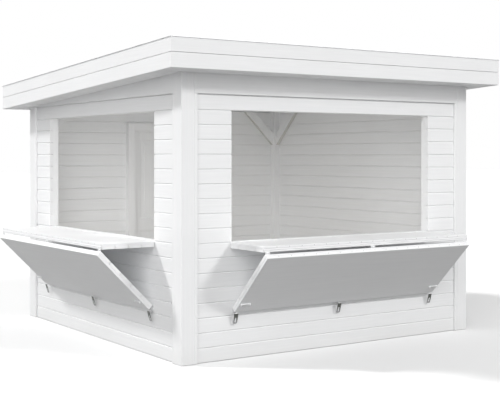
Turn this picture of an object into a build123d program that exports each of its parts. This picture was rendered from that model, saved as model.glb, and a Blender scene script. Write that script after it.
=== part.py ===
from build123d import *
import os
from math import acos, atan2, cos, degrees, hypot, radians, sin

# Wooden kiosk with two fold-down serving hatches and a mono-pitch roof.
# Millimetres, +Z up, origin at the middle of the footprint on the ground.
# +X runs right along the front wall, -Y is the front, the door is in the back wall.

# Plan and wall sizes
FOOTPRINT = 3000.0
POST = 116.0
BATTEN_WIDTH = 28.0
BATTEN_DEPTH = 18.0
BOARD_THICKNESS = 28.0
BACK_BATTEN_HEIGHT = 60.0

# Serving openings, the same in the front and the left wall
OPENING_MARGIN = 460.0
SILL_HEIGHT = 912.0
OPENING_HEIGHT = 1026.0
LINTEL_HEIGHT = 122.0
STUD_DEPTH = 60.0
STUD_WIDTH = 45.0
RAIL_HEIGHT = 50.0

# Knee braces in the corners
KNEE_LEG = 370.0
KNEE_WIDTH = 95.0
KNEE_THICKNESS = 45.0

# Roof
ROOF_RISE = 156.0
OVERHANG = 205.0
SOFFIT_BOARD = 18.0
RAFTER_DEPTH = 140.0
RAFTER_WIDTH = 45.0
RAFTER_COUNT = 5
DECK_THICKNESS = 18.0
FELT_THICKNESS = 4.0
RIM_THICKNESS = 38.0
FASCIA_THICKNESS = 25.0
FASCIA_BOARD = 113.0
FASCIA_GAP = 3.0
TRIM_THICKNESS = 3.0
TRIM_DRIP = 6.0

# Floor
BEARER = 60.0
BEARER_COUNT = 5
FLOOR_THICKNESS = 19.0

# Door in the back wall
DOOR_CLEAR = 780.0
OVER_DOOR_HEIGHT = 135.0
JAMB_WIDTH = 70.0
JAMB_HEAD = 75.0
LEAF_THICKNESS = 40.0
LEAF_GAP = 5.0
STILE = 79.0
TOP_RAIL = 85.0
LOCK_RAIL = 120.0
LOCK_RAIL_HEIGHT = 860.0
BOTTOM_RAIL = 160.0
PANEL_THICKNESS = 16.0
STOP_WIDTH = 15.0
STOP_DEPTH = 40.0
THRESHOLD_NOSE = 30.0

# Door hinges and lever handle
DOOR_BARREL_RADIUS = 7.0
DOOR_KNUCKLE = 40.0
DOOR_HINGE_PLATE = 34.0
DOOR_PLATE_THICKNESS = 2.5
DOOR_AXIS_STAND_OFF = 10.0
DOOR_HINGE_SHARES = (0.1, 0.5, 0.9)
HANDLE_HEIGHT = 1000.0
HANDLE_PLATE_WIDTH = 36.0
HANDLE_PLATE_HEIGHT = 200.0
HANDLE_PLATE_THICKNESS = 4.0
LEVER_RADIUS = 9.0
LEVER_STAND_OFF = 45.0
LEVER_LENGTH = 110.0

# Serving hatches: a counter flap and a folding brace flap
FLAP_THICKNESS = 45.0
FLAP_OVERLAP = 15.0
COUNTER_DEPTH = 458.0
BRACE_LENGTH = 640.0
BRACE_INSET = 10.0
FLAP_GAP = 6.0
WALL_GAP = 6.0
FOOT_STAND_OFF = 47.7

# Hatch hinges
SILL_HINGE_LENGTH = 90.0
FOLD_HINGE_LENGTH = 40.0
SILL_BARREL_RADIUS = 4.0
FOLD_BARREL_RADIUS = 4.5
FOLD_AXIS_STAND_OFF = 5.0
PIN_SHARE = 0.5
PIN_CLEARANCE = 0.3
KNUCKLE_GAP = 0.5
SILL_PLATE_HEIGHT = 32.0
FOLD_PLATE_LENGTH = 40.0
HATCH_PLATE_THICKNESS = 2.0
SILL_HINGE_SHARES = (0.06, 0.5, 0.94)
FOLD_HINGE_SHARES = (0.0157, 0.5, 0.9843)

# Hasps on the wall under the brace flaps
HASP_SHARES = (0.015, 0.5, 0.985)
HASP_WIDTH = 36.0
HASP_THICKNESS = 3.0
HASP_PLATE = 36.0
HASP_ARM_WIDTH = 22.0
HASP_STRAP_LENGTH = 90.0
HASP_LEAN = 16.0
HASP_CLEARANCE = 7.0
HASP_SLOT_WIDTH = 12.0
HASP_SLOT_LENGTH = 36.0
HASP_SLOT_START = 16.0
HASP_TIP_RADIUS = 10.0

# Pull handles on the brace flaps
PULL_SHARES = (0.032, 0.968)
PULL_LENGTH = 90.0
PULL_HEIGHT = 30.0
PULL_WIDTH = 14.0
PULL_THICKNESS = 7.0
PULL_FROM_EDGE = 96.0
PULL_BEND = 14.0

# Cuts run past the faces by this much
OVERRUN = 10.0

# Planes worked out from the sizes above
HALF = FOOTPRINT / 2
POST_INNER = HALF - POST
BOARD_OUTER = HALF - BATTEN_DEPTH
BOARD_INNER = BOARD_OUTER - BOARD_THICKNESS
STUD_INNER = BOARD_INNER - STUD_DEPTH
OPENING_HALF = HALF - OPENING_MARGIN
HEAD_HEIGHT = SILL_HEIGHT + OPENING_HEIGHT
WALL_HEIGHT = HEAD_HEIGHT + LINTEL_HEIGHT
FLOOR_TOP = BEARER + FLOOR_THICKNESS
SLOPE = ROOF_RISE / FOOTPRINT
FASCIA_HEIGHT = 2 * FASCIA_BOARD + FASCIA_GAP
ROOF_OUTER = HALF + OVERHANG
FASCIA_INNER = ROOF_OUTER - FASCIA_THICKNESS
RIM_INNER = FASCIA_INNER - RIM_THICKNESS
RAFTER_TOP = SOFFIT_BOARD + RAFTER_DEPTH
DECK_TOP = RAFTER_TOP + DECK_THICKNESS
JAMB_OUTER = DOOR_CLEAR / 2 + JAMB_WIDTH
JAMB_TOP = WALL_HEIGHT - OVER_DOOR_HEIGHT
DOOR_HEAD_HEIGHT = JAMB_TOP - JAMB_HEAD


def soffit_height(y):
    """Height of the sloping soffit plane, which reaches the wall top at the back."""
    return WALL_HEIGHT + SLOPE * (HALF - y)


def slab(x0, x1, y0, y1, z0, z1):
    """Plain upright block between two corners."""
    middle = ((x0 + x1) / 2, (y0 + y1) / 2, (z0 + z1) / 2)
    return Pos(*middle) * Box(x1 - x0, y1 - y0, z1 - z0)


def side_profile(x0, x1, points):
    """Outline of (y, z) points extruded along X."""
    outline = Plane.YZ * make_face(Polyline(*points, close=True))
    return Pos(x0, 0, 0) * extrude(outline, amount=x1 - x0, dir=(1, 0, 0))


def roof_slab(x0, x1, y0, y1, low, high):
    """Piece that follows the roof slope, plumb at its ends, between two heights over the soffit plane."""
    near, far = soffit_height(y0), soffit_height(y1)
    return side_profile(x0, x1, [(y0, near + low), (y1, far + low), (y1, far + high), (y0, near + high)])


def wall_to_roof(x0, x1, y0, y1, z0):
    """Upright piece whose top is cut to the slope where the rafters bear on it."""
    near, far = soffit_height(y0) + SOFFIT_BOARD, soffit_height(y1) + SOFFIT_BOARD
    return side_profile(x0, x1, [(y0, z0), (y1, z0), (y1, far), (y0, near)])


def as_left_wall(shape):
    """Turn a piece of the front wall round to the left wall."""
    return Rot(0, 0, -90) * shape


def group(solids):
    """Several solids kept apart in one node."""
    return Compound(children=list(solids))


nodes = {}

# Corner posts, cut to the roof slope
for name, side, end in (
    ("front_left", -1, -1), ("front_right", 1, -1), ("back_left", -1, 1), ("back_right", 1, 1)
):
    xs = sorted((side * HALF, side * POST_INNER))
    ys = sorted((end * HALF, end * POST_INNER))
    nodes[f"corner_post_{name}"] = wall_to_roof(*xs, *ys, 0)

# Battens that hold the board ends against the posts
BATTEN_EDGE = POST_INNER - BATTEN_WIDTH
BACK_BATTEN_LOW = WALL_HEIGHT - BACK_BATTEN_HEIGHT
battens = []
for side in (-1, 1):
    along = sorted((side * BATTEN_EDGE, side * POST_INNER))
    across = sorted((side * BOARD_OUTER, side * HALF))
    battens.append(slab(*along, -HALF, -BOARD_OUTER, 0, WALL_HEIGHT))
    battens.append(slab(*along, BOARD_OUTER, HALF, 0, BACK_BATTEN_LOW))
    battens.append(slab(*across, -POST_INNER, -BATTEN_EDGE, 0, WALL_HEIGHT))
    battens.append(slab(*across, BATTEN_EDGE, POST_INNER, 0, WALL_HEIGHT))
nodes["corner_battens"] = group(battens)
nodes["back_top_batten"] = wall_to_roof(-POST_INNER, POST_INNER, BOARD_OUTER, HALF, BACK_BATTEN_LOW)


def hatch_wall_pieces():
    """Front wall round its serving opening: below, both sides, lintel."""
    depth = (-BOARD_OUTER, -BOARD_INNER)
    below = slab(-POST_INNER, POST_INNER, *depth, 0, SILL_HEIGHT)
    sides = group(
        slab(*sorted((side * OPENING_HALF, side * POST_INNER)), *depth, SILL_HEIGHT, HEAD_HEIGHT)
        for side in (-1, 1)
    )
    lintel = slab(-POST_INNER, POST_INNER, *depth, HEAD_HEIGHT, WALL_HEIGHT)
    return {"below": below, "sides": sides, "lintel": lintel}


# Front and left walls, each with a serving opening
for name, piece in hatch_wall_pieces().items():
    nodes[f"front_wall_{name}"] = piece
    nodes[f"left_wall_{name}"] = as_left_wall(piece)

# Closed right wall
nodes["right_wall"] = slab(BOARD_INNER, BOARD_OUTER, -POST_INNER, POST_INNER, 0, WALL_HEIGHT)

# Back wall beside and over the door
nodes["back_wall_sides"] = group(
    wall_to_roof(*sorted((side * JAMB_OUTER, side * POST_INNER)), BOARD_INNER, BOARD_OUTER, 0)
    for side in (-1, 1)
)
nodes["back_wall_over_door"] = wall_to_roof(-JAMB_OUTER, JAMB_OUTER, BOARD_INNER, BOARD_OUTER, JAMB_TOP)

# Studs and rails that frame the serving openings inside the boards
STUD_TOP = HEAD_HEIGHT + RAIL_HEIGHT
front_studs = [
    slab(*sorted((side * OPENING_HALF, side * (OPENING_HALF + STUD_WIDTH))),
         -BOARD_INNER, -STUD_INNER, FLOOR_TOP, STUD_TOP)
    for side in (-1, 1)
]
front_rails = [
    slab(-OPENING_HALF, OPENING_HALF, -BOARD_INNER, -STUD_INNER, low, low + RAIL_HEIGHT)
    for low in (SILL_HEIGHT - RAIL_HEIGHT, HEAD_HEIGHT)
]
nodes["opening_studs"] = group(front_studs + [as_left_wall(stud) for stud in front_studs])
nodes["opening_rails"] = group(front_rails + [as_left_wall(rail) for rail in front_rails])

# Raised beam over the front wall and the tapered boards over the side walls
nodes["front_top_beam"] = wall_to_roof(-POST_INNER, POST_INNER, -HALF, -BOARD_INNER, WALL_HEIGHT)
nodes["side_gables"] = group(
    wall_to_roof(*sorted((side * HALF, side * BOARD_INNER)), -POST_INNER, POST_INNER, WALL_HEIGHT)
    for side in (-1, 1)
)

# Knee braces flat on the walls, two in each corner, from the post up to the wall top
KNEE_CUT = KNEE_WIDTH / sin(radians(45))
KNEE_TOP = WALL_HEIGHT + SOFFIT_BOARD
KNEE_FOOT = KNEE_TOP - KNEE_LEG
KNEE_INNER = BOARD_INNER - KNEE_THICKNESS
knee_outline = [
    (POST_INNER, KNEE_FOOT),
    (POST_INNER - KNEE_LEG, KNEE_TOP),
    (POST_INNER - KNEE_LEG + KNEE_CUT, KNEE_TOP),
    (POST_INNER, KNEE_FOOT + KNEE_CUT),
]
right_knee = side_profile(KNEE_INNER, BOARD_INNER, knee_outline)
right_knees = [right_knee, mirror(right_knee, about=Plane.XZ)]
nodes["knee_braces"] = group(Rot(0, 0, turn) * knee for turn in (0, 90, 180, 270) for knee in right_knees)

# Roof frame: rafters between the end rims, the outermost ones as deep as the rims
rafters = [
    roof_slab(*sorted((side * RIM_INNER, side * FASCIA_INNER)), -RIM_INNER, RIM_INNER,
              SOFFIT_BOARD, FASCIA_HEIGHT)
    for side in (-1, 1)
]
RAFTER_STEP = 2 * RIM_INNER / (RAFTER_COUNT + 1)
for index in range(RAFTER_COUNT):
    middle = -RIM_INNER + RAFTER_STEP * (index + 1)
    rafters.append(
        roof_slab(middle - RAFTER_WIDTH / 2, middle + RAFTER_WIDTH / 2,
                  -RIM_INNER, RIM_INNER, SOFFIT_BOARD, RAFTER_TOP)
    )
nodes["rafters"] = group(rafters)
nodes["roof_end_rims"] = group(
    roof_slab(-FASCIA_INNER, FASCIA_INNER, *sorted((end * RIM_INNER, end * FASCIA_INNER)),
              SOFFIT_BOARD, FASCIA_HEIGHT)
    for end in (-1, 1)
)
nodes["roof_deck"] = roof_slab(-RIM_INNER, RIM_INNER, -RIM_INNER, RIM_INNER, RAFTER_TOP, DECK_TOP)
nodes["roof_felt"] = roof_slab(-RIM_INNER, RIM_INNER, -RIM_INNER, RIM_INNER,
                               DECK_TOP, DECK_TOP + FELT_THICKNESS)

# Soffit boards that close the overhang under the rafter tails
nodes["soffit_ends"] = group(
    roof_slab(-FASCIA_INNER, FASCIA_INNER, *sorted((end * HALF, end * FASCIA_INNER)), 0, SOFFIT_BOARD)
    for end in (-1, 1)
)
nodes["soffit_sides"] = group(
    roof_slab(*sorted((side * HALF, side * FASCIA_INNER)), -HALF, HALF, 0, SOFFIT_BOARD) for side in (-1, 1)
)

# Fascias of two boards with a narrow joint, plumb at the corners
FASCIA_LOWS = (0, FASCIA_BOARD + FASCIA_GAP)
for name, end in (("front", -1), ("back", 1)):
    ys = sorted((end * FASCIA_INNER, end * ROOF_OUTER))
    nodes[f"fascia_{name}"] = group(
        roof_slab(-ROOF_OUTER, ROOF_OUTER, *ys, low, low + FASCIA_BOARD) for low in FASCIA_LOWS
    )
for name, side in (("left", -1), ("right", 1)):
    xs = sorted((side * FASCIA_INNER, side * ROOF_OUTER))
    nodes[f"fascia_{name}"] = group(
        roof_slab(*xs, -FASCIA_INNER, FASCIA_INNER, low, low + FASCIA_BOARD) for low in FASCIA_LOWS
    )

# Metal capping on the fascia and rim
TRIM_OUTER = ROOF_OUTER + TRIM_DRIP
TRIM_TOP = FASCIA_HEIGHT + TRIM_THICKNESS
trim_plate = roof_slab(-TRIM_OUTER, TRIM_OUTER, -TRIM_OUTER, TRIM_OUTER, FASCIA_HEIGHT, TRIM_TOP)
trim_hole = roof_slab(-RIM_INNER, RIM_INNER, -RIM_INNER, RIM_INNER,
                      FASCIA_HEIGHT - OVERRUN, TRIM_TOP + OVERRUN)
nodes["roof_edge_trim"] = trim_plate - trim_hole

# Floor on bearers, notched round the corner posts
BEARER_STEP = (2 * POST_INNER - BEARER) / (BEARER_COUNT - 1)
bearer_middles = [BEARER_STEP * (index - (BEARER_COUNT - 1) / 2) for index in range(BEARER_COUNT)]
nodes["floor_bearers"] = group(
    slab(-BOARD_INNER, BOARD_INNER, middle - BEARER / 2, middle + BEARER / 2, 0, BEARER)
    for middle in bearer_middles
)
floor = slab(-BOARD_INNER, BOARD_INNER, -BOARD_INNER, BOARD_INNER, BEARER, FLOOR_TOP)
for side in (-1, 1):
    for end in (-1, 1):
        corner_x = sorted((side * POST_INNER, side * HALF))
        corner_y = sorted((end * POST_INNER, end * HALF))
        floor -= slab(*corner_x, *corner_y, BEARER - OVERRUN, FLOOR_TOP + OVERRUN)
nodes["floor_deck"] = floor

# Door frame
CLEAR_HALF = DOOR_CLEAR / 2
nodes["door_jambs"] = group(
    slab(*sorted((side * CLEAR_HALF, side * JAMB_OUTER)), STUD_INNER, BOARD_OUTER, FLOOR_TOP, JAMB_TOP)
    for side in (-1, 1)
)
nodes["door_head"] = slab(-CLEAR_HALF, CLEAR_HALF, STUD_INNER, BOARD_OUTER, DOOR_HEAD_HEIGHT, JAMB_TOP)
nodes["door_threshold"] = slab(-JAMB_OUTER, JAMB_OUTER, BOARD_INNER, BOARD_OUTER + THRESHOLD_NOSE,
                               0, FLOOR_TOP)

# Stops that the closed leaf comes up to
LEAF_INNER_FACE = BOARD_OUTER - LEAF_THICKNESS
STOP_FACE = LEAF_INNER_FACE - LEAF_GAP
STOP_HALF = CLEAR_HALF - STOP_WIDTH
STOP_LOW = STOP_FACE - STOP_DEPTH
stops = [
    slab(*sorted((side * STOP_HALF, side * CLEAR_HALF)), STOP_LOW, STOP_FACE, FLOOR_TOP, DOOR_HEAD_HEIGHT)
    for side in (-1, 1)
]
STOP_JOINT = 1.0
stops.append(slab(-STOP_HALF + STOP_JOINT, STOP_HALF - STOP_JOINT, STOP_LOW, STOP_FACE,
                  DOOR_HEAD_HEIGHT - STOP_WIDTH, DOOR_HEAD_HEIGHT))
nodes["door_stops"] = group(stops)

# Framed door leaf with two panels
LEAF_HALF = CLEAR_HALF - LEAF_GAP
LEAF_LOW = FLOOR_TOP + LEAF_GAP
LEAF_HIGH = DOOR_HEAD_HEIGHT - LEAF_GAP
PANEL_HALF = LEAF_HALF - STILE
PANEL_RANGES = (
    (LEAF_LOW + BOTTOM_RAIL, LOCK_RAIL_HEIGHT - LOCK_RAIL / 2),
    (LOCK_RAIL_HEIGHT + LOCK_RAIL / 2, LEAF_HIGH - TOP_RAIL),
)
PANEL_MIDDLE = (LEAF_INNER_FACE + BOARD_OUTER) / 2
leaf = slab(-LEAF_HALF, LEAF_HALF, LEAF_INNER_FACE, BOARD_OUTER, LEAF_LOW, LEAF_HIGH)
panels = []
for low, high in PANEL_RANGES:
    leaf -= slab(-PANEL_HALF, PANEL_HALF, LEAF_INNER_FACE - OVERRUN, BOARD_OUTER + OVERRUN, low, high)
    panels.append(slab(-PANEL_HALF, PANEL_HALF, PANEL_MIDDLE - PANEL_THICKNESS / 2,
                       PANEL_MIDDLE + PANEL_THICKNESS / 2, low, high))
nodes["door_leaf"] = leaf
nodes["door_panels"] = group(panels)


def knuckle(length, radius):
    """Solid hinge barrel piece along X, its end at the origin."""
    return Rot(0, 90, 0) * Cylinder(radius, length, align=(Align.CENTER, Align.CENTER, Align.MIN))


def hinge_halves(length, radius):
    """Barrel along X in two knuckles: the first carries the pin, the second turns on it."""
    half = (length - KNUCKLE_GAP) / 2
    pin = knuckle(length, radius * PIN_SHARE)
    bore = knuckle(length, radius * PIN_SHARE + PIN_CLEARANCE)
    first = knuckle(half, radius) + pin
    second = Pos(length - half, 0, 0) * knuckle(half, radius) - bore
    return first, second, half


# Door hinges: knuckles stacked along Z outside the left jamb
DOOR_AXIS_X = -CLEAR_HALF + LEAF_GAP / 2
DOOR_AXIS_Y = BOARD_OUTER + DOOR_AXIS_STAND_OFF
DOOR_HINGE_LENGTH = 2 * DOOR_KNUCKLE + KNUCKLE_GAP
PLATE_BACK = BOARD_OUTER - DOOR_AXIS_Y
PLATE_FRONT = PLATE_BACK + DOOR_PLATE_THICKNESS
BRIDGE_HALF = LEAF_GAP / 4


def door_hinge(height):
    """Frame half and leaf half of one door hinge, centred on its height."""
    first, second, half = hinge_halves(DOOR_HINGE_LENGTH, DOOR_BARREL_RADIUS)
    upright = Rot(0, -90, 0)
    low_range = (0, half)
    high_range = (DOOR_HINGE_LENGTH - half, DOOR_HINGE_LENGTH)
    frame_plate = slab(-DOOR_HINGE_PLATE, -BRIDGE_HALF, PLATE_BACK, PLATE_FRONT, *low_range)
    frame_web = slab(-DOOR_BARREL_RADIUS, -BRIDGE_HALF, PLATE_BACK, 0, *low_range)
    leaf_plate = slab(BRIDGE_HALF + LEAF_GAP / 4, DOOR_HINGE_PLATE, PLATE_BACK, PLATE_FRONT, *high_range)
    leaf_web = slab(BRIDGE_HALF + LEAF_GAP / 4, DOOR_BARREL_RADIUS, PLATE_BACK, 0, *high_range)
    bore = upright * knuckle(DOOR_HINGE_LENGTH, DOOR_BARREL_RADIUS * PIN_SHARE + PIN_CLEARANCE)
    place = Pos(DOOR_AXIS_X, DOOR_AXIS_Y, height - DOOR_HINGE_LENGTH / 2)
    frame_half = upright * first + frame_plate + frame_web
    leaf_half = upright * second + leaf_plate + leaf_web - bore
    return place * frame_half, place * leaf_half


door_hinges = [door_hinge(LEAF_LOW + share * (LEAF_HIGH - LEAF_LOW)) for share in DOOR_HINGE_SHARES]
nodes["door_hinges_frame"] = group(pair[0] for pair in door_hinges)
nodes["door_hinges_leaf"] = group(pair[1] for pair in door_hinges)

# Lever handles on both faces of the leaf
HANDLE_X = LEAF_HALF - STILE / 2


def lever_handle(face, outward):
    """Back plate, neck and lever, standing out from one face of the leaf."""
    ys = sorted((face, face + outward * HANDLE_PLATE_THICKNESS))
    plate = slab(HANDLE_X - HANDLE_PLATE_WIDTH / 2, HANDLE_X + HANDLE_PLATE_WIDTH / 2, *ys,
                 HANDLE_HEIGHT - HANDLE_PLATE_HEIGHT / 2, HANDLE_HEIGHT + HANDLE_PLATE_HEIGHT / 2)
    neck = Rot(90, 0, 0) * Cylinder(LEVER_RADIUS, LEVER_STAND_OFF)
    neck = Pos(HANDLE_X, face + outward * LEVER_STAND_OFF / 2, HANDLE_HEIGHT) * neck
    lever = Rot(0, 90, 0) * Cylinder(LEVER_RADIUS, LEVER_LENGTH)
    lever_x = HANDLE_X + LEVER_RADIUS - LEVER_LENGTH / 2
    lever = Pos(lever_x, face + outward * LEVER_STAND_OFF, HANDLE_HEIGHT) * lever
    return plate + neck + lever


nodes["door_handles"] = group([lever_handle(BOARD_OUTER, 1), lever_handle(LEAF_INNER_FACE, -1)])

# Serving hatch in the front wall, shown open: the counter is level and the brace folds back to the wall.
# The sill axis lies in the middle of the wall gap, and the fold axis under the counter's front edge.
FLAP_HALF = OPENING_HALF + FLAP_OVERLAP
SILL_AXIS_Y = -BOARD_OUTER - WALL_GAP / 2
SILL_AXIS_Z = SILL_HEIGHT + WALL_GAP / 2
COUNTER_BACK = -BOARD_OUTER - WALL_GAP
COUNTER_FRONT = COUNTER_BACK - COUNTER_DEPTH
COUNTER_UNDER = SILL_HEIGHT - FLAP_THICKNESS
FOLD_AXIS_Y = COUNTER_FRONT - FLAP_GAP / 2
FOLD_AXIS_Z = COUNTER_UNDER - FOLD_AXIS_STAND_OFF
BRACE_END_Y = COUNTER_FRONT - FLAP_GAP
BRACE_FOOT_Y = BRACE_END_Y - BRACE_LENGTH

# The brace folds until its lower corner stands off the boards by a set distance
FOOT_REACH = BRACE_FOOT_Y - FOLD_AXIS_Y
FOOT_STAND = SILL_HEIGHT - FOLD_AXIS_Z
FOOT_Y = -BOARD_OUTER - FOOT_STAND_OFF
FOOT_SHARE = (FOOT_Y - FOLD_AXIS_Y) / hypot(FOOT_REACH, FOOT_STAND)
FOLD_RADIANS = radians(360) - acos(FOOT_SHARE) - atan2(FOOT_STAND, FOOT_REACH)
BRACE_FOLD = degrees(FOLD_RADIANS)
FOOT_Z = FOLD_AXIS_Z + FOOT_REACH * sin(FOLD_RADIANS) + FOOT_STAND * cos(FOLD_RADIANS)


def folded(shape):
    """Fold a piece of the brace, drawn in line with the counter, down and back to the wall."""
    axis = Pos(0, FOLD_AXIS_Y, FOLD_AXIS_Z)
    return axis * Rot(BRACE_FOLD, 0, 0) * axis.inverse() * shape


def flap_places(shares):
    """Places along the flap, as shares of its width."""
    return [-FLAP_HALF + share * 2 * FLAP_HALF for share in shares]


counter = slab(-FLAP_HALF, FLAP_HALF, COUNTER_FRONT, COUNTER_BACK, COUNTER_UNDER, SILL_HEIGHT)
BRACE_HALF = FLAP_HALF - BRACE_INSET
brace = folded(slab(-BRACE_HALF, BRACE_HALF, BRACE_FOOT_Y, BRACE_END_Y, COUNTER_UNDER, SILL_HEIGHT))


def sill_hinge(middle):
    """Wall half and counter half of one hinge at the sill."""
    first, second, half = hinge_halves(SILL_HINGE_LENGTH, SILL_BARREL_RADIUS)
    wall_range = (0, half)
    flap_range = (SILL_HINGE_LENGTH - half, SILL_HINGE_LENGTH)
    wall_plate = slab(*wall_range, WALL_GAP / 2 - HATCH_PLATE_THICKNESS, WALL_GAP / 2, -SILL_PLATE_HEIGHT, 0)
    flap_plate = slab(*flap_range, -WALL_GAP / 2, HATCH_PLATE_THICKNESS - WALL_GAP / 2, -SILL_PLATE_HEIGHT, 0)
    bore = knuckle(SILL_HINGE_LENGTH, SILL_BARREL_RADIUS * PIN_SHARE + PIN_CLEARANCE)
    place = Pos(middle - SILL_HINGE_LENGTH / 2, SILL_AXIS_Y, SILL_AXIS_Z)
    return place * (first + wall_plate), place * (second + flap_plate - bore)


def fold_hinge(middle):
    """Counter half and brace half of one hinge under the counter's front edge."""
    first, second, half = hinge_halves(FOLD_HINGE_LENGTH, FOLD_BARREL_RADIUS)
    counter_range = (0, half)
    brace_range = (FOLD_HINGE_LENGTH - half, FOLD_HINGE_LENGTH)
    plate_high = FOLD_AXIS_STAND_OFF
    plate_low = FOLD_AXIS_STAND_OFF - HATCH_PLATE_THICKNESS
    edge = FLAP_GAP / 2
    counter_plate = slab(*counter_range, edge, edge + FOLD_PLATE_LENGTH, plate_low, plate_high)
    counter_web = slab(*counter_range, 0, edge + HATCH_PLATE_THICKNESS, 0, plate_high)
    brace_plate = slab(*brace_range, -edge - FOLD_PLATE_LENGTH, -edge, plate_low, plate_high)
    brace_web = slab(*brace_range, -edge - HATCH_PLATE_THICKNESS, 0, 0, plate_high)
    bore = knuckle(FOLD_HINGE_LENGTH, FOLD_BARREL_RADIUS * PIN_SHARE + PIN_CLEARANCE)
    place = Pos(middle - FOLD_HINGE_LENGTH / 2, FOLD_AXIS_Y, FOLD_AXIS_Z)
    counter_half = place * (first + counter_plate + counter_web)
    brace_half = place * (second + brace_plate + brace_web - bore)
    return counter_half, folded(brace_half)


def pull(middle):
    """Bent bar handle on the brace's smooth face."""
    y_middle = BRACE_FOOT_Y + PULL_FROM_EDGE
    inside = PULL_LENGTH / 2 - PULL_THICKNESS
    ys = (y_middle - PULL_WIDTH / 2, y_middle + PULL_WIDTH / 2)
    bar = slab(middle - PULL_LENGTH / 2, middle + PULL_LENGTH / 2, *ys,
               SILL_HEIGHT, SILL_HEIGHT + PULL_HEIGHT)
    hand_gap = slab(middle - inside, middle + inside, ys[0] - OVERRUN, ys[1] + OVERRUN,
                    SILL_HEIGHT - PULL_HEIGHT, SILL_HEIGHT + PULL_HEIGHT - PULL_THICKNESS)
    bar = fillet(bar.edges().filter_by(Axis.Y).group_by(Axis.Z)[-1], PULL_BEND)
    hand_gap = fillet(hand_gap.edges().filter_by(Axis.Y).group_by(Axis.Z)[-1], PULL_BEND - PULL_THICKNESS)
    return folded(bar - hand_gap)


# Hasps: a plate on the boards, an arm out under the brace's lower corner and a slotted strap hung from it
HASP_ARM_TOP = FOOT_Z - HASP_CLEARANCE
HASP_ARM_UNDER = HASP_ARM_TOP - HASP_THICKNESS


def hasp(middle):
    """One wall plate with its arm and hanging strap."""
    arm_xs = (middle - HASP_ARM_WIDTH / 2, middle + HASP_ARM_WIDTH / 2)
    strap_xs = (middle - HASP_WIDTH / 2, middle + HASP_WIDTH / 2)
    plate_face = -BOARD_OUTER - HASP_THICKNESS
    plate = slab(*arm_xs, plate_face, -BOARD_OUTER, HASP_ARM_UNDER, HASP_ARM_TOP + HASP_PLATE)
    arm = slab(*arm_xs, FOOT_Y, -BOARD_OUTER, HASP_ARM_UNDER, HASP_ARM_TOP)
    strap = slab(*strap_xs, 0, HASP_THICKNESS, -HASP_STRAP_LENGTH, 0)
    strap = fillet(strap.edges().filter_by(Axis.Y).group_by(Axis.Z)[0], HASP_TIP_RADIUS)
    slot = Rot(90, 0, 0) * SlotOverall(HASP_SLOT_LENGTH, HASP_SLOT_WIDTH, rotation=90)
    slot = extrude(slot, amount=HASP_THICKNESS + OVERRUN, both=True)
    strap -= Pos(middle, 0, HASP_SLOT_START + HASP_SLOT_LENGTH / 2 - HASP_STRAP_LENGTH) * slot
    return plate + arm + Pos(0, FOOT_Y, HASP_ARM_TOP) * Rot(HASP_LEAN, 0, 0) * strap


sill_hinges = [sill_hinge(place) for place in flap_places(SILL_HINGE_SHARES)]
fold_hinges = [fold_hinge(place) for place in flap_places(FOLD_HINGE_SHARES)]
front_hatch = {
    "counter": [counter],
    "counter_hinges": [pair[1] for pair in sill_hinges] + [pair[0] for pair in fold_hinges],
    "brace": [brace],
    "brace_hinges": [pair[1] for pair in fold_hinges],
    "brace_pulls": [pull(place) for place in flap_places(PULL_SHARES)],
}
for name, solids in front_hatch.items():
    nodes[f"front_{name}"] = group(solids)
    nodes[f"left_{name}"] = group(as_left_wall(solid) for solid in solids)
wall_halves = [pair[0] for pair in sill_hinges]
wall_hasps = [hasp(place) for place in flap_places(HASP_SHARES)]
nodes["sill_hinges"] = group(wall_halves + [as_left_wall(half) for half in wall_halves])
nodes["wall_hasps"] = group(wall_hasps + [as_left_wall(piece) for piece in wall_hasps])

# Write one file for each node
os.makedirs("parts", exist_ok=True)
for name, shape in nodes.items():
    export_step(shape, f"parts/{name}.step")
print(len(nodes), "nodes")
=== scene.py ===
from math import pi, radians
import bmesh
import bpy
from mathutils import Matrix, Vector


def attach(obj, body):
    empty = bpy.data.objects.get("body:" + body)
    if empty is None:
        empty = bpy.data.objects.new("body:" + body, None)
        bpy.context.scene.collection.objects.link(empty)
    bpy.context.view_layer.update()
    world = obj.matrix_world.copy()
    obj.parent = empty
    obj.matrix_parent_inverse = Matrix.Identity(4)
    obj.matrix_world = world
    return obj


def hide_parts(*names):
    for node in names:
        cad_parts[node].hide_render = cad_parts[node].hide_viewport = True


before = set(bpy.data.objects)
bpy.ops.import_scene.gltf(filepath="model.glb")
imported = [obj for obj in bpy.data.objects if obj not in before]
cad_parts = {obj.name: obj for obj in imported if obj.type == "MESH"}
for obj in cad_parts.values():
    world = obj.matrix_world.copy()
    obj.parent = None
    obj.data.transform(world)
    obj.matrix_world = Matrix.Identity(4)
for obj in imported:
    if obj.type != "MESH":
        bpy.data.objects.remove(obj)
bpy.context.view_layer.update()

# Floor bearers: five square lengths of pressure-treated pine that lie on the ground.
# They are sawn to length with their arrises eased, and the floorboards are screwed down on them.
BOARD_INNER = 1.454
BEARER = 0.060
BEARER_SPACING = 0.677


def added(primitive, **values):
    """New primitive, the only thing selected, with its place and size settled in its mesh."""
    bpy.ops.object.select_all(action="DESELECT")
    primitive(**values)
    bpy.ops.object.transform_apply()
    return bpy.context.object


def sawn(name, low, high):
    """Length of timber between two corners, square as it comes from the saw."""
    middle = [(a + b) / 2 for a, b in zip(low, high)]
    size = [b - a for a, b in zip(low, high)]
    piece = added(bpy.ops.mesh.primitive_cube_add, size=1, location=middle, scale=size)
    piece.name = piece.data.name = name
    return piece


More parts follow.
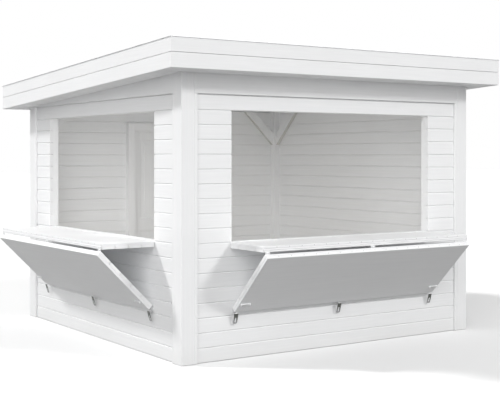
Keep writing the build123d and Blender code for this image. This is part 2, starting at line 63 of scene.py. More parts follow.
def eased(piece, width, segments=2):
    """Round the sharp edges of a piece a little, as a plane and sandpaper leave them."""
    modifier = piece.modifiers.new("eased", "BEVEL")
    modifier.width, modifier.segments = width, segments
    modifier.limit_method, modifier.angle_limit = "ANGLE", radians(25)
    bpy.context.view_layer.objects.active = piece
    bpy.ops.object.modifier_apply(modifier="eased")
    return piece


def joined(name, pieces):
    """Make one object of several loose pieces."""
    bpy.ops.object.select_all(action="DESELECT")
    for piece in pieces:
        piece.select_set(True)
    bpy.context.view_layer.objects.active = pieces[0]
    if len(pieces) > 1:
        bpy.ops.object.join()
    pieces[0].name = pieces[0].data.name = name
    return pieces[0]


def fitted(piece, finish, slot, body, *nodes):
    """Give a finished piece its material and tie it to the frame."""
    piece.data.materials.clear()
    piece.data.materials.append(finish)
    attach(piece, body)
    if nodes:
        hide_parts(*nodes)
    return piece


def begun(name):
    """New material, with its node tree and its surface shader."""
    finish = bpy.data.materials.new(name)
    finish.use_nodes = True
    return finish, finish.node_tree, finish.node_tree.nodes["Principled BSDF"]


def feed(node, **values):
    """Set sockets of a shader node to values or link them to other sockets; To_Min means To Min."""
    for name, value in values.items():
        socket = node.inputs[name.replace("_", " ")]
        if isinstance(value, bpy.types.NodeSocket):
            node.id_data.links.new(value, socket)
        else:
            socket.default_value = value
    return node


def add_node(tree, kind, **values):
    """New shader node with some of its sockets set or linked."""
    return feed(tree.nodes.new("ShaderNode" + kind), **values)


def ramp(tree, share, low, dark, high, pale):
    """Colour that goes from a dark tone at a low share to a pale one at a high share."""
    made = add_node(tree, "ValToRGB", Fac=share)
    for stop, position, colour in zip(made.color_ramp.elements, (low, high), (dark, pale)):
        stop.position, stop.color = position, (*colour, 1)
    return made.outputs["Color"]


def bare_pine(name, pale, dark, stretch):
    """Unpainted pine: streaked grain along the length, darker late wood, fine pores and a dull sheen."""
    finish, tree, shader = begun(name)
    place = add_node(tree, "TexCoord").outputs["Object"]
    along = add_node(tree, "Mapping", Vector=place, Scale=stretch).outputs["Vector"]
    grain = add_node(tree, "TexNoise", Vector=along, Scale=1.0, Detail=6.0, Roughness=0.62, Distortion=0.9)
    grain = grain.outputs["Fac"]
    raised = add_node(tree, "Bump", Height=grain, Strength=0.35, Distance=0.0008)
    sheen = add_node(tree, "MapRange", Value=grain, To_Min=0.55, To_Max=0.72)
    feed(shader, Base_Color=ramp(tree, grain, 0.34, dark, 0.62, pale))
    feed(shader, Normal=raised.outputs["Normal"], Roughness=sheen.outputs["Result"])
    return finish


treated_pine = bare_pine("treated_pine", (0.34, 0.31, 0.20), (0.22, 0.20, 0.12), (1.5, 26, 26))
bearers = []
for row in range(5):
    middle = (row - 2) * BEARER_SPACING
    low, high = middle - BEARER / 2, middle + BEARER / 2
    bearers.append(sawn("bearer", (-BOARD_INNER, low, 0), (BOARD_INNER, high, BEARER)))
bearers = eased(joined("floor_bearer_timbers", bearers), 0.002)
fitted(bearers, treated_pine, "floor_wood", "building", "floor_bearers")

# Corner posts: four planed square posts that stand on the ground and carry the roof.
# They are softwood under white paint, cut off at the top to the roof pitch, with eased arrises.
POST_INNER, POST_OUTER = 1.384, 1.500
ROOF_PITCH = 0.052
WALL_TOP = 2.060
SOFFIT_BOARD = 0.018
RAFTER_SEAT = WALL_TOP + SOFFIT_BOARD
UNCUT_TOP = 2.4


def combined(tree, operation, first, second):
    """Two shader values worked into one."""
    made = add_node(tree, "Math")
    made.operation = operation
    tree.links.new(first, made.inputs[0])
    tree.links.new(second, made.inputs[1])
    return made.outputs["Value"]


def white_paint(name, stretch):
    """Opaque white paint on planed softwood: brush marks along the grain and faint grime by the ground."""
    finish, tree, shader = begun(name)
    place = add_node(tree, "TexCoord").outputs["Object"]
    along = add_node(tree, "Mapping", Vector=place, Scale=stretch).outputs["Vector"]
    brush = add_node(tree, "TexNoise", Vector=along, Scale=1.0, Detail=5.0, Roughness=0.6, Distortion=0.4)
    brush = brush.outputs["Fac"]
    coat = ramp(tree, brush, 0.30, (0.868, 0.872, 0.878), 0.70, (0.905, 0.908, 0.912))
    cloud = add_node(tree, "TexNoise", Vector=place, Scale=1.7, Detail=3.0).outputs["Fac"]
    drift = add_node(tree, "MapRange", Value=cloud, From_Min=0.5, From_Max=0.8, To_Max=0.35).outputs["Result"]
    coat = add_node(tree, "MixRGB", Fac=drift, Color1=coat, Color2=(0.845, 0.850, 0.846, 1)).outputs["Color"]
    height = add_node(tree, "SeparateXYZ", Vector=place).outputs["Z"]
    splash = add_node(tree, "MapRange", Value=height, From_Min=0.01, From_Max=0.16, To_Min=0.16, To_Max=0.0)
    spots = combined(tree, "MULTIPLY", splash.outputs["Result"], cloud)
    grime = add_node(tree, "MixRGB", Fac=spots, Color1=coat, Color2=(0.56, 0.55, 0.50, 1))
    fine = add_node(tree, "TexNoise", Vector=place, Scale=420.0, Detail=2.0).outputs["Fac"]
    film = add_node(tree, "Bump", Height=fine, Strength=0.10, Distance=0.0004).outputs["Normal"]
    marks = add_node(tree, "Bump", Height=brush, Normal=film, Strength=0.22, Distance=0.0008)
    gloss = add_node(tree, "MapRange", Value=brush, To_Min=0.42, To_Max=0.58)
    feed(shader, Base_Color=grime.outputs["Color"], Normal=marks.outputs["Normal"])
    feed(shader, Roughness=gloss.outputs["Result"])
    return finish


def trimmed(piece, point, outward):
    """Saw a piece along a plane and drop what lies outside."""
    bpy.context.view_layer.objects.active = piece
    bpy.ops.object.mode_set(mode="EDIT")
    bpy.ops.mesh.select_all(action="SELECT")
    bpy.ops.mesh.bisect(plane_co=point, plane_no=outward, use_fill=True, clear_outer=True)
    bpy.ops.object.mode_set(mode="OBJECT")
    return piece


def cut_to_pitch(piece):
    """Cut the top of an upright piece to the roof pitch, where the rafters bear on it."""
    return trimmed(piece, (0, POST_OUTER, RAFTER_SEAT), (0, ROOF_PITCH, 1))


def span(side, near, far):
    """Low and high end of a stretch between two distances from the middle, on one side of it."""
    return sorted((side * near, side * far))


upright_paint = white_paint("white_paint_upright", (70, 70, 2.2))
level_paint = white_paint("white_paint_level", (2.2, 2.2, 75))
for corner, x, y in (
    ("front_left", -1, -1), ("front_right", 1, -1), ("back_left", -1, 1), ("back_right", 1, 1),
):
    xs, ys = span(x, POST_INNER, POST_OUTER), span(y, POST_INNER, POST_OUTER)
    post = sawn("post_" + corner, (xs[0], ys[0], 0), (xs[1], ys[1], UNCUT_TOP))
    eased(cut_to_pitch(post), 0.004)
    fitted(post, upright_paint, "white_paint", "building", "corner_post_" + corner)

# Corner battens: slim upright strips beside each post that cover the board ends.
# They are planed softwood, nailed through the boards, and leave a narrow shadow groove along the post.
BATTEN_INNER = 1.356
BOARD_OUTER = 1.482
BACK_HEAD = 2.000
strips = []
for side in (-1, 1):
    along, across = span(side, BATTEN_INNER, POST_INNER), span(side, BOARD_OUTER, POST_OUTER)
    strips.append(sawn("strip", (along[0], -POST_OUTER, 0), (along[1], -BOARD_OUTER, WALL_TOP)))
    strips.append(sawn("strip", (along[0], BOARD_OUTER, 0), (along[1], POST_OUTER, BACK_HEAD)))
    strips.append(sawn("strip", (across[0], -POST_INNER, 0), (across[1], -BATTEN_INNER, WALL_TOP)))
    strips.append(sawn("strip", (across[0], BATTEN_INNER, 0), (across[1], POST_INNER, WALL_TOP)))
strips = eased(joined("corner_batten_strips", strips), 0.0035)
fitted(strips, upright_paint, "white_paint", "building", "corner_battens")

# Wall boards: level tongue-and-groove boards, 28 mm thick at a pitch of 114 mm, with V joints on both faces.
# They are nailed to the posts and studs and stop at the serving openings and at the door frame.
X, Y, Z = range(3)
BOARD_PITCH = 0.114
SILL_COURSES, FULL_COURSES = 8, 17
SILL, FULL_TOP = BOARD_PITCH * SILL_COURSES, BOARD_PITCH * FULL_COURSES
V_JOINT, BOARD_GAP, TONGUE = 0.0045, 0.003, 0.006
OPENING_HALF = 1.040
JAMB_OUTER, DOOR_HEAD_TOP = 0.460, 1.925


def pick(piece, kind, test):
    """In edit mode, select the vertices, edges or faces that pass a test, and nothing else."""
    bpy.ops.mesh.select_mode(type=kind)
    bpy.ops.mesh.select_all(action="DESELECT")
    mesh = bmesh.from_edit_mesh(piece.data)
    for item in {"VERT": mesh.verts, "EDGE": mesh.edges, "FACE": mesh.faces}[kind]:
        if test(item):
            item.select_set(True)
    mesh.select_flush_mode()
    bmesh.update_edit_mesh(piece.data)


def repeated(piece, step, count):
    """Repeat a piece in a row, each one a step further."""
    modifier = piece.modifiers.new("row", "ARRAY")
    modifier.count = count
    modifier.use_relative_offset, modifier.use_constant_offset = False, True
    modifier.constant_offset_displace = step
    bpy.context.view_layer.objects.active = piece
    bpy.ops.object.modifier_apply(modifier="row")
    return piece


def extruded(*way):
    """In edit mode, pull out what is selected along a vector, with new sides behind it."""
    bpy.ops.mesh.extrude_region_move(TRANSFORM_OT_translate={"value": way})


def boarding(name, low, high, count, across, v_joint=V_JOINT):
    """Boards that fill the box between two corners side by side: V joints, a tongue and a groove on each."""
    pitch = (high[across] - low[across]) / count
    spans = [b - a for a, b in zip(low, high)]
    along = max((axis for axis in range(3) if axis != across), key=lambda axis: spans[axis])
    thick = 3 - across - along
    board_high = list(high)
    board_high[across] = low[across] + pitch - BOARD_GAP
    board = sawn(name, low, board_high)
    centre = [(a + b) / 2 for a, b in zip(low, board_high)]
    tongue, squeeze = [0, 0, 0], [1, 1, 1]
    tongue[across], squeeze[thick] = TONGUE, 0.45
    bpy.ops.object.mode_set(mode="EDIT")
    pick(board, "EDGE", lambda edge: abs((edge.verts[0].co - edge.verts[1].co)[along]) > 0.01)
    bpy.ops.mesh.bevel(offset=v_joint, segments=1, affect="EDGES")
    for side in (1, -1):
        pick(board, "FACE", lambda face: face.normal[across] * side > 0.99)
        bpy.ops.mesh.extrude_region_move()
        bpy.ops.transform.resize(value=squeeze, center_override=centre)
        extruded(*tongue)
    bpy.ops.object.mode_set(mode="OBJECT")
    step, outward = [0, 0, 0], [0, 0, 0]
    step[across], outward[across] = pitch, 1
    repeated(board, step, count)
    return trimmed(board, high, outward)


def chosen(piece):
    """Make a piece the only selected one, and the active one."""
    bpy.ops.object.select_all(action="DESELECT")
    piece.select_set(True)
    bpy.context.view_layer.objects.active = piece
    return piece


def moved(piece, matrix):
    """Move a piece by a matrix and settle it there, with its origin at the frame's."""
    chosen(piece).matrix_world = matrix
    bpy.ops.object.transform_apply()
    return piece


def on_both_walls(piece, finish, slot, body, *nodes):
    """Fit a finished front piece, and a copy of it turned to the left wall under the names of that side."""
    chosen(piece)
    bpy.ops.object.duplicate(linked=False)
    copy = moved(bpy.context.object, Matrix.Rotation(radians(-90), 4, "Z"))
    copy.name = copy.data.name = piece.name.replace("front", "left")
    fitted(piece, finish, slot, body, *nodes)
    fitted(copy, finish, slot, *(name.replace("front", "left") for name in (body, *nodes)))


front_boards = [
    boarding("below", (-POST_INNER, -BOARD_OUTER, 0), (POST_INNER, -BOARD_INNER, SILL), SILL_COURSES, Z),
]
for side in (-1, 1):
    xs = span(side, OPENING_HALF, POST_INNER)
    low, high = (xs[0], -BOARD_OUTER, SILL), (xs[1], -BOARD_INNER, FULL_TOP)
    front_boards.append(boarding("beside", low, high, FULL_COURSES - SILL_COURSES, Z))
low, high = (-POST_INNER, -BOARD_OUTER, FULL_TOP), (POST_INNER, -BOARD_INNER, WALL_TOP)
front_boards.append(boarding("lintel", low, high, 1, Z))
on_both_walls(joined("front_wall_boards", front_boards), level_paint, "white_paint", "building",
              "front_wall_below", "front_wall_sides", "front_wall_lintel")
right_boards = joined("right_wall_boards", [
    boarding("courses", (BOARD_INNER, -POST_INNER, 0), (BOARD_OUTER, POST_INNER, FULL_TOP), FULL_COURSES, Z),
    boarding("top_course", (BOARD_INNER, -POST_INNER, FULL_TOP), (BOARD_OUTER, POST_INNER, WALL_TOP), 1, Z),
])
fitted(right_boards, level_paint, "white_paint", "building", "right_wall")
low, high = (-JAMB_OUTER, BOARD_INNER, DOOR_HEAD_TOP), (JAMB_OUTER, BOARD_OUTER, FULL_TOP - 0.001)
back_boards = [
    boarding("top", (-POST_INNER, BOARD_INNER, FULL_TOP), (POST_INNER, BOARD_OUTER, RAFTER_SEAT), 1, Z),
    eased(sawn("over_door", low, high), 0.002),
]
for side in (-1, 1):
    xs = span(side, JAMB_OUTER, POST_INNER)
    low, high = (xs[0], BOARD_INNER, 0), (xs[1], BOARD_OUTER, FULL_TOP)
    back_boards.append(boarding("courses", low, high, FULL_COURSES, Z))
back_boards = joined("back_wall_boards", back_boards)
fitted(back_boards, level_paint, "white_paint", "building", "back_wall_sides", "back_wall_over_door")

# Opening frames: studs at both sides of each serving opening and rails at the sill and the head.
# They are planed softwood behind the boards, flush with the opening, and the boards are nailed to them.
TIMBER = 0.045
RAIL = 0.050
FRAME_INNER = 1.394
FLOOR_TOP = 0.079
studs = []
for side in (-1, 1):
    xs = span(side, OPENING_HALF, OPENING_HALF + TIMBER)
    studs.append(sawn("stud", (xs[0], -BOARD_INNER, FLOOR_TOP), (xs[1], -FRAME_INNER, FULL_TOP + RAIL)))
rails = [
    sawn("rail", (-OPENING_HALF, -BOARD_INNER, low), (OPENING_HALF, -FRAME_INNER, low + RAIL))
    for low in (SILL - RAIL, FULL_TOP)
]
for node, pieces, paint in (("opening_studs", studs, upright_paint), ("opening_rails", rails, level_paint)):
    on_both_walls(eased(joined("front_" + node, pieces), 0.003), paint, "white_paint", "building", node)

# Wall heads: the raised beam over the front boards, tapered boards over the side walls and the back batten.
# All are planed softwood between the posts, cut along the top to the roof pitch.
beam = sawn("front_head_beam", (-POST_INNER, -POST_OUTER, WALL_TOP), (POST_INNER, -BOARD_INNER, UNCUT_TOP))
fitted(eased(cut_to_pitch(beam), 0.004), level_paint, "white_paint", "building", "front_top_beam")
gables = []
for side in (-1, 1):
    xs = span(side, BOARD_INNER, POST_OUTER)
    gables.append(cut_to_pitch(sawn("gable", (xs[0], -POST_INNER, WALL_TOP), (xs[1], POST_INNER, UNCUT_TOP))))
gables = eased(joined("side_gable_boards", gables), 0.004)
fitted(gables, level_paint, "white_paint", "building", "side_gables")
low, high = (-POST_INNER, BOARD_OUTER, BACK_HEAD), (POST_INNER, POST_OUTER, UNCUT_TOP)
back_head = sawn("back_head_batten", low, high)
fitted(eased(cut_to_pitch(back_head), 0.0035), level_paint, "white_paint", "building", "back_top_batten")

# Knee braces: short struts at 45 degrees in the corners, two to each, from the post up to the wall head.
# Each is a planed length sawn plumb against the post and level under the roof, flat against the boards.
# The faces that look down get a darker base colour: painted shade along the lower edge, where a dark line
# shows under each strut.
KNEE_MIDDLE = Vector((BOARD_INNER - TIMBER / 2, 1.2, 1.9592))
KNEE_REACH = Vector((TIMBER / 2, 0.45, 0.0475))


def turn_about(point, degrees):
    """Turn about the line along X through a point."""
    turn = Matrix.Rotation(radians(degrees), 4, "X")
    return Matrix.Translation(point) @ turn @ Matrix.Translation(-point)


knees = []
for quarter in range(4):
    for side in (-1, 1):
        middle = Vector((KNEE_MIDDLE.x, side * KNEE_MIDDLE.y, KNEE_MIDDLE.z))
        knee = sawn("knee", middle - KNEE_REACH, middle + KNEE_REACH)
        moved(knee, turn_about(middle, -45 * side))
        trimmed(knee, (0, side * POST_INNER, 0), (0, side, 0))
        trimmed(knee, (0, 0, RAFTER_SEAT), (0, 0, 1))
        knees.append(moved(knee, Matrix.Rotation(radians(90 * quarter), 4, "Z")))
knees = eased(joined("knee_brace_struts", knees), 0.003)
knee_paint_with_painted_shade = upright_paint.copy()
knee_paint_with_painted_shade.name = "knee_paint_with_painted_shade"
tree = knee_paint_with_painted_shade.node_tree
shader = tree.nodes["Principled BSDF"]
# Painted shade: faces whose normal points down are mixed towards grey, to darken the struts' undersides.
facing = add_node(tree, "SeparateXYZ", Vector=add_node(tree, "TexCoord").outputs["Normal"]).outputs["Z"]
painted_underside_shade = add_node(tree, "MapRange", Value=facing, From_Min=-0.3, From_Max=-0.6).outputs["Result"]
paint = shader.inputs["Base Color"].links[0].from_socket
underside_shade_mix = add_node(tree, "MixRGB", Fac=painted_underside_shade, Color1=paint, Color2=(0.63, 0.63, 0.60, 1))
feed(shader, Base_Color=underside_shade_mix.outputs["Color"])
fitted(knees, knee_paint_with_painted_shade, "white_paint", "building", "knee_braces")

# Floor: planed pine floorboards across the bearers, with a narrow board along each side between the posts.
# They lie with open joints three millimetres wide and are screwed down at every bearer.
FLOOR_EASE = 0.0015
floor_pine = bare_pine("floor_pine", (0.76, 0.74, 0.70), (0.64, 0.61, 0.56), (30, 1.3, 30))
low, high = (-POST_INNER, -BOARD_INNER, BEARER), (POST_INNER, BOARD_INNER, FLOOR_TOP)
floor_boards = [boarding("boards", low, high, 24, X, FLOOR_EASE)]
for side in (-1, 1):
    xs = span(side, POST_INNER + 0.001, BOARD_INNER)
    edge_board = sawn("edge_board", (xs[0], -POST_INNER, BEARER), (xs[1], POST_INNER, FLOOR_TOP))
    floor_boards.append(eased(edge_board, FLOOR_EASE))
fitted(joined("floor_boards", floor_boards), floor_pine, "floor_wood", "building", "floor_deck")

# Roof frame: rafters that fall to the back, with deeper rim timbers all round for the fascias.
# All are planed softwood set on edge, nailed through the rims, and painted with the walls.
RIM_INNER, RIM_OUTER = 1.642, 1.680
RAFTER_TOP, RIM_TOP = 0.158, 0.229
RAFTER_SPACING = 0.5473


def pitched(piece):
    """Lean a roof piece that was made level over to the roof pitch, its ends kept plumb."""
    for vertex in piece.data.vertices:
        vertex.co.z += WALL_TOP + ROOF_PITCH * (POST_OUTER - vertex.co.y)
    return piece


first, last = -2 * RAFTER_SPACING - TIMBER / 2, -2 * RAFTER_SPACING + TIMBER / 2
rafter = sawn("rafter", (first, -RIM_INNER, SOFFIT_BOARD), (last, RIM_INNER, RAFTER_TOP))
rafters, rims = [repeated(rafter, (RAFTER_SPACING, 0, 0), 5)], []
for side in (-1, 1):
    near, far = span(side, RIM_INNER, RIM_OUTER)
    rafters.append(sawn("rim", (near, -RIM_INNER, SOFFIT_BOARD), (far, RIM_INNER, RIM_TOP)))
    rims.append(sawn("rim", (-RIM_OUTER, near, SOFFIT_BOARD), (RIM_OUTER, far, RIM_TOP)))
for name, timbers, node in (
    ("rafter_timbers", rafters, "rafters"), ("roof_rim_timbers", rims, "roof_end_rims"),
):
    fitted(pitched(eased(joined(name, timbers), 0.003)), level_paint, "white_paint", "building", node)

# Roof deck: tongue-and-groove boards across the rafters, whose V joints show from inside.
# They carry the felt, are nailed down on every rafter, and are painted white underneath.
DECK_TOP = 0.176
THIN_JOINT = 0.004
low, high = (-RIM_INNER, -RIM_INNER, RAFTER_TOP), (RIM_INNER, RIM_INNER, DECK_TOP)
deck = pitched(boarding("roof_deck_boards", low, high, 28, Y, THIN_JOINT))
fitted(deck, level_paint, "white_paint", "building", "roof_deck")

# Roof felt: four lengths of bitumen sheet with a slate finish, lapped down the slope from the front.
# Each is bonded to the deck, its lower edge over the next one, and an upstand turns up the rims.
FELT, FELT_EASE = 0.004, 0.0012
FELT_TOP, UPSTAND_TOP = DECK_TOP + FELT, 0.2285
FELT_STEP, FELT_WIDTH = 0.80, 0.884
felt = []
for row in range(4):
    low_edge = RIM_INNER - row * FELT_STEP
    high_edge = max(low_edge - FELT_WIDTH, -RIM_INNER)
    sheet = sawn("sheet", (-RIM_INNER, high_edge, DECK_TOP), (RIM_INNER, low_edge, FELT_TOP))
    if row:
        bpy.ops.object.mode_set(mode="EDIT")
        for back in (0.05, 0.09):
            bpy.ops.mesh.select_all(action="SELECT")
            bpy.ops.mesh.bisect(plane_co=(0, low_edge - back, 0), plane_no=(0, 1, 0))
        pick(sheet, "VERT", lambda vertex: vertex.co.y > low_edge - 0.06)
        bpy.ops.transform.translate(value=(0, 0, FELT))
        bpy.ops.object.mode_set(mode="OBJECT")
    felt.append(eased(sheet, FELT_EASE))
inner = RIM_INNER - FELT
for side in (-1, 1):
    near, far = span(side, inner, RIM_INNER)
    for low, high in (((near, -RIM_INNER), (far, RIM_INNER)), ((-inner, near), (inner, far))):
        felt.append(eased(sawn("upstand", (*low, FELT_TOP), (*high, UPSTAND_TOP)), FELT_EASE))
felt = pitched(joined("roof_felt_sheets", felt))
slate_felt, tree, shader = begun("slate_felt")
place = add_node(tree, "TexCoord").outputs["Object"]
chips = add_node(tree, "TexVoronoi", Vector=place, Scale=520.0)
tint = ramp(tree, chips.outputs["Color"], 0, (0.035, 0.038, 0.042), 1, (0.105, 0.110, 0.118))
cloud = add_node(tree, "TexNoise", Vector=place, Scale=2.3, Detail=4.0).outputs["Fac"]
bleach = add_node(tree, "MapRange", Value=cloud, From_Min=0.45, From_Max=0.75, To_Max=0.6).outputs["Result"]
tint = add_node(tree, "MixRGB", Fac=bleach, Color1=tint, Color2=(0.135, 0.138, 0.140, 1)).outputs["Color"]
rough = add_node(tree, "Bump", Height=chips.outputs["Distance"], Strength=0.7, Distance=0.0012)
feed(shader, Base_Color=tint, Normal=rough.outputs["Normal"], Roughness=0.9)
fitted(felt, slate_felt, "roof_felt", "building", "roof_felt")

# Soffit: two narrow matchboards all round that close the overhang under the rafter tails.
# They are planed softwood, painted, nailed up to the rims and the wall heads.
ends, sides = [], []
for side in (-1, 1):
    near, far = span(side, POST_OUTER, RIM_OUTER)
    low, high = (-RIM_OUTER, near, 0), (RIM_OUTER, far, SOFFIT_BOARD)
    ends.append(boarding("end", low, high, 2, Y, THIN_JOINT))
    low, high = (near, -POST_OUTER, 0), (far, POST_OUTER, SOFFIT_BOARD)
    sides.append(boarding("side", low, high, 2, X, THIN_JOINT))
for name, boards, node in (
    ("soffit_end_boards", ends, "soffit_ends"), ("soffit_side_boards", sides, "soffit_sides"),
):
    fitted(pitched(joined(name, boards)), level_paint, "white_paint", "building", node)

# Fascias: two planed boards on each side of the roof, one above the other with an open joint of 3 mm.
# The front and back ones run past the side ones at the corners, and all are nailed to the rims.
FASCIA_OUTER = 1.705
FASCIA_BOARD, FASCIA_STEP = 0.113, 0.116
for edge, side in (("front", -1), ("back", 1), ("left", -1), ("right", 1)):
    near, far = span(side, RIM_OUTER, FASCIA_OUTER)
    low, high = (near, -RIM_OUTER), (far, RIM_OUTER)
    if edge in ("front", "back"):
        low, high = (-FASCIA_OUTER, near), (FASCIA_OUTER, far)
    boards = [sawn("board", (*low, z), (*high, z + FASCIA_BOARD)) for z in (0, FASCIA_STEP)]
    boards = pitched(eased(joined("fascia_boards_" + edge, boards), 0.003, 3))
    fitted(boards, level_paint, "white_paint", "building", "fascia_" + edge)

# Roof edge trim: a folded aluminium capping over the rims and fascias, with a lip down the outside.
# It is one ring of sheet, nailed through the top into the rims, and keeps the rain off the joint.
TRIM_OUTER, TRIM_WIDTH, TRIM_LEVEL = 1.7105, 0.0685, 0.2315
LIP_OUTSIDE, LIP_INSIDE = 0.005, 0.030
trim = added(bpy.ops.mesh.primitive_plane_add, size=2 * TRIM_OUTER, location=(0, 0, TRIM_LEVEL))
bpy.ops.object.mode_set(mode="EDIT")
bpy.ops.mesh.select_all(action="SELECT")
bpy.ops.mesh.inset(thickness=TRIM_WIDTH)
pick(trim, "FACE", lambda face: abs(face.calc_center_median().x) + abs(face.calc_center_median().y) < 0.1)
bpy.ops.mesh.delete(type="ONLY_FACE")
pick(trim, "EDGE", lambda edge: edge.is_boundary and max(map(abs, edge.verts[0].co.xy)) > FASCIA_OUTER)
extruded(0, 0, -LIP_OUTSIDE)
pick(trim, "EDGE", lambda edge: edge.is_boundary and max(map(abs, edge.verts[0].co.xy)) < FASCIA_OUTER)
extruded(0, 0, -LIP_INSIDE)
bpy.ops.mesh.select_all(action="SELECT")
bpy.ops.mesh.normals_make_consistent(inside=False)
bpy.ops.object.mode_set(mode="OBJECT")
sheet = trim.modifiers.new("sheet", "SOLIDIFY")
sheet.thickness, sheet.offset = 0.0012, 0
bpy.ops.object.modifier_apply(modifier="sheet")
trim.name = trim.data.name = "roof_edge_capping"
pitched(eased(trim, 0.0004))


def sheet_metal(name, colour, roughness, flake):
    """Bare metal: a slightly uneven tone from rolling or dipping, and a scuffed sheen."""
    finish, tree, shader = begun(name)
    place = add_node(tree, "TexCoord").outputs["Object"]
    cloud = add_node(tree, "TexVoronoi", Vector=place, Scale=flake).outputs["Color"]
    scuff = add_node(tree, "TexNoise", Vector=place, Scale=90.0, Detail=4.0).outputs["Fac"]
    gloss = add_node(tree, "MapRange", Value=scuff, To_Min=roughness - 0.08, To_Max=roughness + 0.12)
    dents = add_node(tree, "Bump", Height=scuff, Strength=0.08, Distance=0.0004)
    feed(shader, Base_Color=ramp(tree, cloud, 0, [0.86 * part for part in colour], 1, colour), Metallic=1.0)
    feed(shader, Normal=dents.outputs["Normal"], Roughness=gloss.outputs["Result"])
    return finish


mill_aluminium = sheet_metal("mill_aluminium", (0.88, 0.885, 0.89), 0.42, 14.0)
fitted(trim, mill_aluminium, "edge_metal", "building", "roof_edge_trim")

# Door frame: two jambs and a head in the back wall, planed stops for the leaf, and a threshold.
# All are softwood under white paint, wedged and screwed between the boards.
JAMB_INNER, STOP_INNER = 0.390, 0.375
STOP_BACK, STOP_FRONT = 1.397, 1.437
DOOR_HEAD = 1.850
THRESHOLD_FRONT = 1.512
jambs, stops = [], []
for side in (-1, 1):
    xs = span(side, JAMB_INNER, JAMB_OUTER)
    jambs.append(sawn("jamb", (xs[0], FRAME_INNER, FLOOR_TOP), (xs[1], BOARD_OUTER, DOOR_HEAD_TOP)))
    xs = span(side, STOP_INNER, JAMB_INNER)
    stops.append(sawn("stop", (xs[0], STOP_BACK, FLOOR_TOP), (xs[1], STOP_FRONT, DOOR_HEAD)))
half = STOP_INNER - 0.001
stops.append(sawn("top", (-half, STOP_BACK, DOOR_HEAD - 0.015), (half, STOP_FRONT, DOOR_HEAD)))
for name, pieces, node in (
    ("door_jamb_pair", jambs, "door_jambs"), ("door_stop_strips", stops, "door_stops"),
):
    fitted(eased(joined(name, pieces), 0.0025), upright_paint, "white_paint", "building", node)
low, high = (-JAMB_INNER, FRAME_INNER, DOOR_HEAD), (JAMB_INNER, BOARD_OUTER, DOOR_HEAD_TOP)
door_head = eased(sawn("door_head_timber", low, high), 0.0025)
fitted(door_head, level_paint, "white_paint", "building", "door_head")
sill = sawn("door_sill", (-JAMB_OUTER, BOARD_INNER, 0), (JAMB_OUTER, THRESHOLD_FRONT, FLOOR_TOP))
bpy.ops.object.mode_set(mode="EDIT")
pick(sill, "EDGE", lambda edge: all(v.co.y > BOARD_OUTER and v.co.z > BEARER for v in edge.verts))
bpy.ops.mesh.bevel(offset=0.018, segments=3, affect="EDGES")
bpy.ops.object.mode_set(mode="OBJECT")
fitted(eased(sill, 0.002), level_paint, "white_paint", "building", "door_threshold")

# Door leaf: a framed softwood leaf of two stiles and three rails round two fielded panels.
# The frame is tenoned together, and slim beads hold the panels on both faces.
LEAF_HALF, STILE_INNER, LEAF_BACK = 0.385, 0.306, 1.442
LEAF_RAILS = ((0.084, 0.244), (0.800, 0.920), (1.760, 1.845))
RAIL_SETBACK = 0.0002
PANEL_BACK, PANEL_FRONT = 1.454, 1.470
BEAD, BEAD_EASE = 0.012, 0.0035
BEAD_FACES = ((1.466, 1.477), (1.447, 1.458))
leaf = []
for side in (-1, 1):
    xs = span(side, STILE_INNER, LEAF_HALF)
    leaf.append(sawn("stile", (xs[0], LEAF_BACK, LEAF_RAILS[0][0]), (xs[1], BOARD_OUTER, LEAF_RAILS[-1][1])))
ys = (LEAF_BACK + RAIL_SETBACK, BOARD_OUTER - RAIL_SETBACK)
for low, high in LEAF_RAILS:
    leaf.append(sawn("rail", (-STILE_INNER, ys[0], low), (STILE_INNER, ys[1], high)))
leaf = eased(joined("door_leaf_frame", leaf), 0.0018)
fitted(leaf, upright_paint, "white_paint", "door", "door_leaf")
panels = []
for (_, low), (high, _) in zip(LEAF_RAILS, LEAF_RAILS[1:]):
    panel = sawn("panel", (-STILE_INNER, PANEL_BACK, low), (STILE_INNER, PANEL_FRONT, high))
    bpy.ops.object.mode_set(mode="EDIT")
    pick(panel, "FACE", lambda face: abs(face.normal.y) > 0.99)
    bpy.ops.mesh.inset(thickness=0.058)
    bpy.ops.mesh.inset(thickness=0.003, depth=0.0)
    pick(panel, "VERT", lambda vertex: abs(vertex.co.x) > STILE_INNER - 0.0005)
    bpy.ops.transform.resize(value=(1, 0.4, 1), center_override=(0, (PANEL_BACK + PANEL_FRONT) / 2, 0))
    pick(panel, "FACE", lambda face: abs(face.normal.y) > 0.99 and face.calc_area() > 0.1)
    bpy.ops.mesh.extrude_region_shrink_fatten(TRANSFORM_OT_shrink_fatten={"value": 0.0025})
    bpy.ops.object.mode_set(mode="OBJECT")
    panels.append(eased(panel, 0.0008))
    inner = STILE_INNER - BEAD
    for back, front in BEAD_FACES:
        for side in (-1, 1):
            xs = span(side, inner, STILE_INNER)
            panels.append(eased(sawn("bead", (xs[0], back, low), (xs[1], front, high)), BEAD_EASE, 3))
        for foot in (low, high - BEAD):
            bead = sawn("bead", (-inner, back, foot), (inner, front, foot + BEAD))
            panels.append(eased(bead, BEAD_EASE, 3))
panels = joined("door_fielded_panels", panels)
fitted(panels, upright_paint, "white_paint", "door", "door_panels")

# Serving counters: the lower flap of each hatch, let down level on its sill hinges.
# A smooth sheet on top is screwed along its front edge to four wall boards that face out when it is shut.
COUNTER_FRONT, COUNTER_BACK, COUNTER_HALF = -1.946, -1.488, 1.055
FLAP_UNDER, FLAP_BOARD_TOP, FLAP_SHEET_UNDER = 0.867, 0.8925, 0.8945
GLUE_UNDER, GLUE_TOP, GLUE_SETBACK = 0.8915, 0.8955, 0.004


